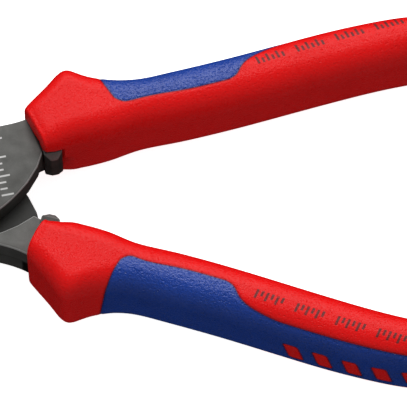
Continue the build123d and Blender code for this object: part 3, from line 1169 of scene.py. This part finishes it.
@dataclass
class BladeLever:
    """One forging: jaw, joint plate, stop lug and tang, with rolled edges."""

    side: Side
    jaw_back: tuple[Point2, ...] = ((-34.4, -8.8), (-26, -15.0), (-16, -16.6), (-6, -14.2), (2, -12.6))
    neck: tuple[Point2, ...] = ((9, -11.9), (14.9, -9.9), (17.5, -8.4), (20.0, -6.6), (22.4, -4.6))
    neck_corner: Point2 = (25.2, -1.3)
    neck_heel: Point2 = (27.1, 2.2)
    head_tip: Point2 = (-36.8, 3.86)
    tip_nose: Point2 = (-38.5, 2.2)
    tip_back: Point2 = (-38.1, -0.8)
    outer_edge: tuple[Point2, ...] = (
        (2.2, 12.41), (9, 11.8), (14, 10.8), (19.5, 10.4), (25.7, 11.0), (30, 12.2),
        (36, 12.7), (45, 12.2), (55, 12.0), (66, 12.4), (80, 13.3), (95, 14.3),
        (106, 14.7), (114, 14.1), (119, 13.2),
    )
    tang_end: Point2 = (120.8, 11.1)
    inner_edge: tuple[Point2, ...] = (
        (118.4, 9.0), (111.5, 9.6), (106, 9.75), (95, 9.2), (80, 7.9), (66, 6.7),
        (55, 6.2), (45, 5.7), (36, 5.2), (31.3, 4.6),
    )
    step_line: tuple[Point2, ...] = ((14.2, 12.4), (15.6, 10.7), (17.7, 8.75), (20.3, 6.9), (22.7, 4.9))
    step_corner: Point2 = (25.55, 1.8)
    half: float = 5.0
    edge_centre: Point2 = (-24.3, 25.5)
    edge_radius: float = 25.0
    edge_heel_x: float = -12.03
    edge_heel_middle: Point2 = (-8.0, 9.73)
    edge_land: float = 0.35
    bevel_width: float = 4.4
    joint_radius: float = 12.6
    joint_clear: float = 0.5
    roll: float = 0.45
    pivot_hole: float = 4.05
    lug_centre: Point2 = (29.25, 3.03)
    lug_size: Point2 = (4.1, 6.0)
    lug_break: float = 1.3
    lug_round: float = 0.22

    def edge_point(self, x: float) -> Point2:
        """Point of the cutting edge at a distance along the head."""
        across = x - self.edge_centre[0]
        return (x, self.edge_centre[1] - math.sqrt(self.edge_radius**2 - across**2))

    def plate_loop(self) -> np.ndarray:
        """Plan of the whole lever.

        Returns:
            Closed loop of points.
        """
        heel = self.edge_point(self.edge_heel_x)
        back = smooth_line(list(reversed(self.jaw_back + self.neck)) + [self.tip_back], 0.5)
        straight = np.array([self.inner_edge[-1], self.neck_heel, self.neck_corner, self.neck[-1]])
        return join_loop(
            arc_through(self.head_tip, self.edge_point(self.edge_centre[0]), heel, 0.5),
            arc_through(heel, self.edge_heel_middle, self.outer_edge[0], 0.5),
            smooth_line(list(self.outer_edge), 0.6),
            arc_through(self.outer_edge[-1], self.tang_end, self.inner_edge[0], 0.5),
            smooth_line(list(self.inner_edge), 0.8),
            straight,
            back,
            arc_through(self.tip_back, self.tip_nose, self.head_tip, 0.3),
        )

    def heel_loop(self, plate: np.ndarray) -> np.ndarray:
        """Plan of the full-thickness part behind the step wall.

        Args:
            plate: Plan of the whole lever.

        Returns:
            Closed loop of points.
        """
        start = int(np.argmin(np.linalg.norm(plate - np.array(self.step_line[1]), axis=1)))
        end = int(np.argmin(np.linalg.norm(plate - np.array(self.neck_heel), axis=1)))
        wall = np.array([self.step_corner] + list(reversed(self.step_line[2:])))
        return join_loop(plate[start : end + 1], wall)

    def slab(
        self, name: str, loop: np.ndarray, low: float, high: float, rolled: tuple[bool, bool]
    ) -> bpy.types.Object:
        """A plate with rolled rims.

        Args:
            name: Name of the piece.
            loop: Plan of the plate.
            low: Level of the underside.
            high: Level of the top.
            rolled: Whether the lower and the upper rim are rolled.

        Returns:
            The plate.
        """
        r = self.roll
        turn = [(r * (1 - math.sin(a)), r * (1 - math.cos(a))) for a in np.linspace(0, math.pi / 2, 5)]
        profile = [(inset, low + rise) for inset, rise in turn] if rolled[0] else [(0.0, low)]
        top = [(inset, high - rise) for inset, rise in reversed(turn)] if rolled[1] else [(0.0, high)]
        profile += top
        count = len(loop)
        rings = [
            np.column_stack([inset_loop(loop, inset), np.full(count, level)]) for inset, level in profile
        ]
        faces = [list(range(count))[::-1], *ring_faces(len(profile), count)]
        faces.append([(len(profile) - 1) * count + k for k in range(count)])
        return new_piece(name, np.concatenate(rings), faces)

    def grinder(self) -> bpy.types.Object:
        """Cone segment that grinds the cutting bevel, clear of the joint face.

        Returns:
            Closed object to cut with.
        """
        low = MID_Z + MATING_GAP + self.edge_land
        rise = MID_Z + self.half - low
        slope = self.bevel_width / rise
        cx, cy = self.edge_centre
        clear = self.joint_radius + self.joint_clear
        first = math.atan2(self.head_tip[1] - cy, self.head_tip[0] - cx) - 0.25
        sweep = []
        for angle in np.linspace(first, first + 1.7, 90):
            rows = []
            for height in np.linspace(-0.02, rise + 0.6, 6):
                radius = self.edge_radius + slope * height
                rows.append((cx + radius * math.cos(angle), cy + radius * math.sin(angle), low + height))
            sweep.append(rows)
        sweep = [rows for rows in sweep if math.hypot(rows[0][0], rows[0][1]) > clear - 6]
        points = []
        for rows in sweep:
            points += [(cx, cy, rows[0][2]), *rows, (cx, cy, rows[-1][2])]
        per = len(sweep[0]) + 2
        faces = ring_faces(len(sweep), per)
        faces.append(list(range(per)))
        faces.append([(len(sweep) - 1) * per + k for k in range(per)][::-1])
        tool = new_piece("grinder", np.array(points), faces)
        tidy_mesh(tool, 30)
        keep, keep_faces = turned([(0, 5.0), (clear, 5.0), (clear, 16.0), (0, 16.0)], 128)
        cylinder = new_piece("keep", keep, keep_faces)
        tidy_mesh(cylinder, 30)
        cut_away(tool, cylinder)
        return tool

    def lug(self) -> bpy.types.Object:
        """Forged stop lug with a broken end.

        Returns:
            The lug, closed on all sides.
        """
        bm = bmesh.new()
        bmesh.ops.create_cube(bm, size=1.0)
        (cx, cy), (width, length) = self.lug_centre, self.lug_size
        for v in bm.verts:
            v.co = Vector((cx + v.co.x * width, cy + v.co.y * length, MID_Z + v.co.z * 2 * self.half))
        end = [e for e in bm.edges if all(v.co.y < cy - length / 3 for v in e.verts)]
        shape = {"affect": "EDGES", "profile": 0.5}
        bmesh.ops.bevel(bm, geom=end, offset=self.lug_break, segments=1, **shape)
        bmesh.ops.bevel(bm, geom=list(bm.edges), offset=self.lug_round, segments=3, **shape)
        mesh = mesh_from("lug", bm)
        mesh.transform(Matrix.Scale(MM, 4))
        return linked("lug", mesh)

    def build(self, steel: bpy.types.Material) -> None:
        """Make the forging, dress it and put it on its body.

        Args:
            steel: Finish of the forging.
        """
        plate_loop = self.plate_loop()
        plate = self.slab("plate", plate_loop, MID_Z + MATING_GAP, MID_Z + self.half, (False, True))
        tidy_mesh(plate, 40)
        cut_away(plate, self.grinder())
        hole, hole_faces = turned([(0, 2.0), (self.pivot_hole, 2.0), (self.pivot_hole, 18.0), (0, 18.0)], 96)
        drill = new_piece("drill", hole, hole_faces)
        tidy_mesh(drill, 30)
        cut_away(plate, drill)
        heel_loop = self.heel_loop(plate_loop)
        heel = self.slab("heel", heel_loop, MID_Z - self.half, MID_Z + MATING_GAP, (True, False))
        shells = [plate, heel, self.lug()]
        bm = bmesh.new()
        for shell in shells:
            bm.from_mesh(shell.data)
            bpy.data.objects.remove(shell)
        name = f"{self.side.value}_blade_lever_look"
        piece = linked(name, mesh_from(name, bm))
        tidy_mesh(piece, 32)
        self.mark_zones(piece)
        settle(piece, self.side)
        piece.data.materials.append(steel)
        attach(piece, self.side.body)
        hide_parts(f"{self.side.value}_blade_lever")
        LOG.info("%s: %d faces", piece.name, len(piece.data.polygons))

    def mark_zones(self, piece: bpy.types.Object) -> None:
        """Store where the rims are worn and carry a painted highlight, where the flanks take painted shade,
        and where the bevel is ground.

        Args:
            piece: The forging, still in its closed place.
        """
        mesh = piece.data
        edge, flank, ground = (
            mesh.attributes.new(name, "FLOAT", "CORNER") for name in ("edge", "flank", "ground")
        )
        low = MID_Z + MATING_GAP + self.edge_land
        rise = MID_Z + self.half - low
        want = math.atan2(self.bevel_width, rise)
        upright = 0.15
        for face in mesh.polygons:
            centre = face.center / MM
            tilt = abs(face.normal.z)
            near = math.hypot(centre.x - self.edge_centre[0], centre.y - self.edge_centre[1])
            in_band = self.edge_radius - 0.1 < near < self.edge_radius + self.bevel_width + 0.1
            on_head = centre.x < -9 and centre.z < MID_Z + self.half - 0.01
            is_bevel = in_band and on_head and abs(tilt - math.sin(want)) < 0.12
            is_rim = upright < tilt < 0.97 and not is_bevel
            for corner in face.loop_indices:
                edge.data[corner].value = float(is_rim)
                flank.data[corner].value = float(tilt <= upright)
                ground.data[corner].value = float(is_bevel)


# ---------------------------------------------------------------- joint hardware


@dataclass
class PivotJoint:
    """Bolt, washers, nut and locking ring on the pivot axis."""

    head_radius: float = 7.2
    head_height: float = 4.2
    shank_radius: float = 4.0
    thread_radius: float = 3.5
    washer_radius: float = 8.4
    washer_bore: float = 4.05
    washer_thickness: float = 0.8
    nut_width: float = 13.0
    nut_top: float = 19.9
    nut_bore: float = 3.52
    nut_chamfer: float = 6.2
    ring_radius: float = 4.9
    ring_depth: float = 1.4
    bolt_end: float = 19.6
    slot_width: float = 1.3
    slot_depth: float = 1.0
    slot_angle: float = 35.0
    rim: float = 0.18

    @property
    def quarter(self) -> np.ndarray:
        """Angles through a quarter turn, for the rolled rims."""
        return np.linspace(0, math.pi / 2, 5)

    @property
    def nut_base(self) -> float:
        """Level of the nut's seat."""
        return MID_Z + 5.0 + MATING_GAP + self.washer_thickness

    def place(
        self, piece: bpy.types.Object, node: str, slot: str, finish: bpy.types.Material, sharp: float
    ) -> None:
        """Dress a piece and let it stand for its CAD node.

        Args:
            piece: The new piece.
            node: Name of the CAD node.
            slot: Name of its finish, which is not used.
            finish: Material of the piece.
            sharp: Angle from which an edge is sharp, in degrees.
        """
        tidy_mesh(piece, sharp)
        settle(piece, None)
        piece.data.materials.append(finish)
        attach(piece, Side.REAR.body)
        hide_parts(node)
        LOG.info("%s: %d faces", piece.name, len(piece.data.polygons))

    def rolled(self, radius: float, level: float, upper: bool, size: float) -> list[Point2]:
        """Profile points of a rolled outer rim, going upwards.

        Args:
            radius: Outer radius of the turned shape.
            level: Level of its face.
            upper: Whether the face is the upper one.
            size: Size of the roll.

        Returns:
            Points of the profile.
        """
        near, far = size * (1 - np.cos(self.quarter)), size * (1 - np.sin(self.quarter))
        if upper:
            return [(radius - a, level - b) for a, b in zip(near, far)]
        return [(radius - b, level + a) for a, b in zip(near, far)]

    def washer(self, level: float) -> tuple[np.ndarray, list[list[int]]]:
        """A flat washer with rolled rims.

        Args:
            level: Level of its underside.

        Returns:
            Points in millimetres, and faces.
        """
        top = level + self.washer_thickness
        profile = [(self.washer_bore, level)] + self.rolled(self.washer_radius, level, False, self.rim)
        profile += self.rolled(self.washer_radius, top, True, self.rim) + [(self.washer_bore, top)]
        return turned(profile, 128)

    def bolt(self) -> bpy.types.Object:
        """Flat round head, shank, thread with its crests, and a slotted end.

        Returns:
            The bolt.
        """
        profile = [(0.0, 0.0), (self.head_radius - 0.9, 0.0)]
        profile += [(self.head_radius - 0.6, 0.08), (self.head_radius - 0.05, 0.6), (self.head_radius, 0.75)]
        profile += self.rolled(self.head_radius, self.head_height, True, self.rim)
        profile += [(self.shank_radius, self.head_height), (self.shank_radius, self.nut_base)]
        profile += [(self.thread_radius, self.nut_base)]
        pitch, level = 0.75, self.nut_base + 0.2
        while level + pitch < self.bolt_end - 0.5:
            profile += [(self.thread_radius, level), (self.thread_radius - 0.35, level + pitch / 2)]
            level += pitch
        profile += [(self.thread_radius, self.bolt_end - 0.45), (self.thread_radius - 0.4, self.bolt_end)]
        profile += [(0.0, self.bolt_end)]
        points, faces = turned(profile, 128)
        piece = new_piece("pivot_bolt_look", points, faces)
        tidy_mesh(piece, 30)
        bm = bmesh.new()
        bmesh.ops.create_cube(bm, size=1.0)
        mesh = mesh_from("slot", bm)
        length, width, depth = self.thread_radius * 3, self.slot_width, self.slot_depth * 2
        size = Matrix.Diagonal((length * MM, width * MM, depth * MM, 1))
        mesh.transform(Matrix.Rotation(math.radians(self.slot_angle), 4, "Z") @ size)
        mesh.transform(Matrix.Translation((0, 0, self.bolt_end * MM)))
        cut_away(piece, linked("slot", mesh))
        return piece

    def nut(self) -> bpy.types.Object:
        """Hexagon nut with a 30 degree chamfer that leaves arched flats.

        Returns:
            The nut.
        """
        segments = 144
        angles = np.linspace(0, math.tau, segments, endpoint=False)
        from_flat = (angles + math.pi / 6) % (math.pi / 3) - math.pi / 6
        reach = self.nut_width / 2 / np.cos(from_flat)
        reach = np.minimum(reach, self.nut_width / 2 / math.cos(math.pi / 6) - 0.12)
        seat, chamfer, floor = self.nut_base, self.nut_chamfer, self.nut_top - self.ring_depth
        drop = (reach - chamfer) * math.tan(math.radians(30))
        rows = [
            (self.nut_bore, seat),
            (chamfer, seat),
            (reach, seat + drop * 0.5),
            (reach, self.nut_top - drop),
            (chamfer, self.nut_top),
            (self.ring_radius + 0.15, self.nut_top),
            (self.ring_radius, self.nut_top - 0.15),
            (self.ring_radius, floor),
            (self.nut_bore, floor),
        ]
        around = np.ones(segments)
        points = np.concatenate(
            [np.column_stack([r * np.cos(angles), r * np.sin(angles), level * around]) for r, level in rows]
        )
        return new_piece("pivot_nut_look", points, ring_faces(len(rows), segments, True))

    def build(self, steel: bpy.types.Material, nylon: bpy.types.Material) -> None:
        """Make every piece of the joint.

        Args:
            steel: Finish of the bolt, the washers and the nut.
            nylon: Finish of the locking ring.
        """
        self.place(self.bolt(), "pivot_bolt", "joint_steel", steel, 30)
        levels = {"rear_washer": self.head_height, "front_washer": self.nut_base - self.washer_thickness}
        for name, level in levels.items():
            points, faces = self.washer(level)
            self.place(new_piece(f"{name}_look", points, faces), name, "joint_steel", steel, 30)
        self.place(self.nut(), "pivot_nut", "joint_steel", steel, 24)
        top, low = self.nut_top - 0.1, self.nut_top - self.ring_depth
        profile = [(self.nut_bore, low), (self.ring_radius, low)]
        profile += self.rolled(self.ring_radius, top, True, 0.2)
        profile += [(self.nut_bore + 0.25, top), (self.nut_bore, top - 0.2)]
        points, faces = turned(profile, 96)
        self.place(new_piece("lock_ring_look", points, faces), "lock_ring", "nylon", nylon, 40)


# ---------------------------------------------------------------- studio


@dataclass
class Studio:
    """Pale floor, soft lights and the camera."""

    azimuth: float = 0.94
    elevation: float = 64.0
    distance: float = 1.0
    aim: tuple[float, float, float] = (0.0614, -0.0016, 0.010)
    view_width: float = 0.08945
    wall_place: tuple[float, float, float] = (0.06, 1.5, 1.45)
    wall_size: float = 2.0
    wall_power: float = 20.0
    key: float = 2.25
    key_angle: float = 35.0
    key_elevation: float = 60.0
    ambient: float = 0.55
    floor_half: float = 6.0
    floor_gap: float = 0.00005

    def build(self) -> None:
        """Make the floor, the lights, the world and the camera."""
        scene = bpy.context.scene
        scene.view_settings.view_transform = "Standard"
        scene.view_settings.look = "None"
        self.floor()
        self.lights()
        self.tent(scene)
        self.camera(scene)
        LOG.info("studio: floor, two lights, camera")

    def floor(self) -> None:
        """Lay the pale floor just under the tool."""
        bm = bmesh.new()
        bmesh.ops.create_grid(bm, x_segments=1, y_segments=1, size=self.floor_half)
        floor = linked("floor", mesh_from("floor", bm))
        floor.location.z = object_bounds()[0][2] - self.floor_gap
        floor.data.materials.append(PaperFloor().material())
        floor.visible_diffuse = False
        floor.visible_glossy = False
        floor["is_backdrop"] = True

    def lights(self) -> None:
        """Hang a bright wall behind the tool and a wide soft light over it."""
        lamp = bpy.data.lights.new("tent_wall", "AREA")
        lamp.shape, lamp.size, lamp.energy = "SQUARE", self.wall_size, self.wall_power
        light = bpy.data.objects.new("tent_wall", lamp)
        light.location = self.wall_place
        light.rotation_euler = (Vector(self.aim) - light.location).to_track_quat("-Z", "Y").to_euler()
        sun = bpy.data.lights.new("skylight", "SUN")
        sun.energy, sun.angle = self.key, math.radians(self.key_angle)
        over = bpy.data.objects.new("skylight", sun)
        over.rotation_euler = (math.radians(self.key_elevation - 90), 0, 0)
        over.visible_glossy = False
        for one in (light, over):
            bpy.context.scene.collection.objects.link(one)

    def camera(self, scene: bpy.types.Scene) -> None:
        """Put up the camera.

        Args:
            scene: Scene that it looks at.
        """
        target = Vector(self.aim)
        turn, lift = math.radians(self.azimuth), math.radians(self.elevation)
        back = Vector((math.sin(turn) * math.cos(lift), -math.cos(turn) * math.cos(lift), math.sin(lift)))
        data = bpy.data.cameras.new("camera")
        data.sensor_width = 36.0
        data.lens = data.sensor_width * self.distance / self.view_width
        data.clip_start, data.clip_end = 0.05, 20
        camera = bpy.data.objects.new("camera", data)
        camera.location = target + back * self.distance
        right = Vector((math.cos(turn), math.sin(turn), 0))
        facing = Matrix((right, back.cross(right), back)).transposed().to_4x4()
        camera.matrix_world = Matrix.Translation(camera.location) @ facing
        scene.collection.objects.link(camera)
        scene.camera = camera

    def tent(self, scene: bpy.types.Scene) -> None:
        """Even white surroundings that fill the shadows and leave no reflection.

        Args:
            scene: Scene that they belong to.
        """
        world = bpy.data.worlds.new("tent")
        scene.world = world
        world.use_nodes = True
        background = world.node_tree.nodes["Background"]
        background.inputs["Color"].default_value = (1, 1, 1, 1)
        background.inputs["Strength"].default_value = self.ambient
        world.cycles_visibility.glossy = False


def main() -> None:
    """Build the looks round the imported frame."""
    logging.basicConfig(level=logging.INFO, format="%(name)s %(message)s")
    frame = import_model()
    steel = ForgedSteel().material()
    plain = ForgedSteel(marked=False).material()
    red = MouldedGrip(
        name="red_grip",
        base=(0.60, 0.0012, 0.0015),
        deep=(0.57, 0.001, 0.001),
        sheen=(0.64, 0.004, 0.004),
        rough=0.32,
        specular=0.32,
        sand=0.20,
        grain=2.6,
        gap=(0.10, 0.001, 0.004),
        printed=True,
    )
    blue = MouldedGrip(
        name="blue_grip",
        base=(0.001, 0.036, 0.28),
        deep=(0.001, 0.032, 0.25),
        sheen=(0.002, 0.045, 0.31),
        rough=0.33,
        specular=1.25,
        sand=0.42,
        grain=2.0,
        gap=(0.006, 0.006, 0.05),
    )
    red_finish, blue_finish = red.material(), blue.material()
    core = HardCore().material()
    for side in Side:
        Grip(side).build(red_finish, blue_finish)
        BladeLever(side).build(steel if side is Side.FRONT else plain)
        hidden = frame["nodes"][f"{side.value}_grip_core"]
        hidden.data.materials.clear()
        hidden.data.materials.append(core)
    PivotJoint().build(TurnedSteel().material(), Nylon().material())
    Studio().build()


if __name__ == "__main__":
    main()
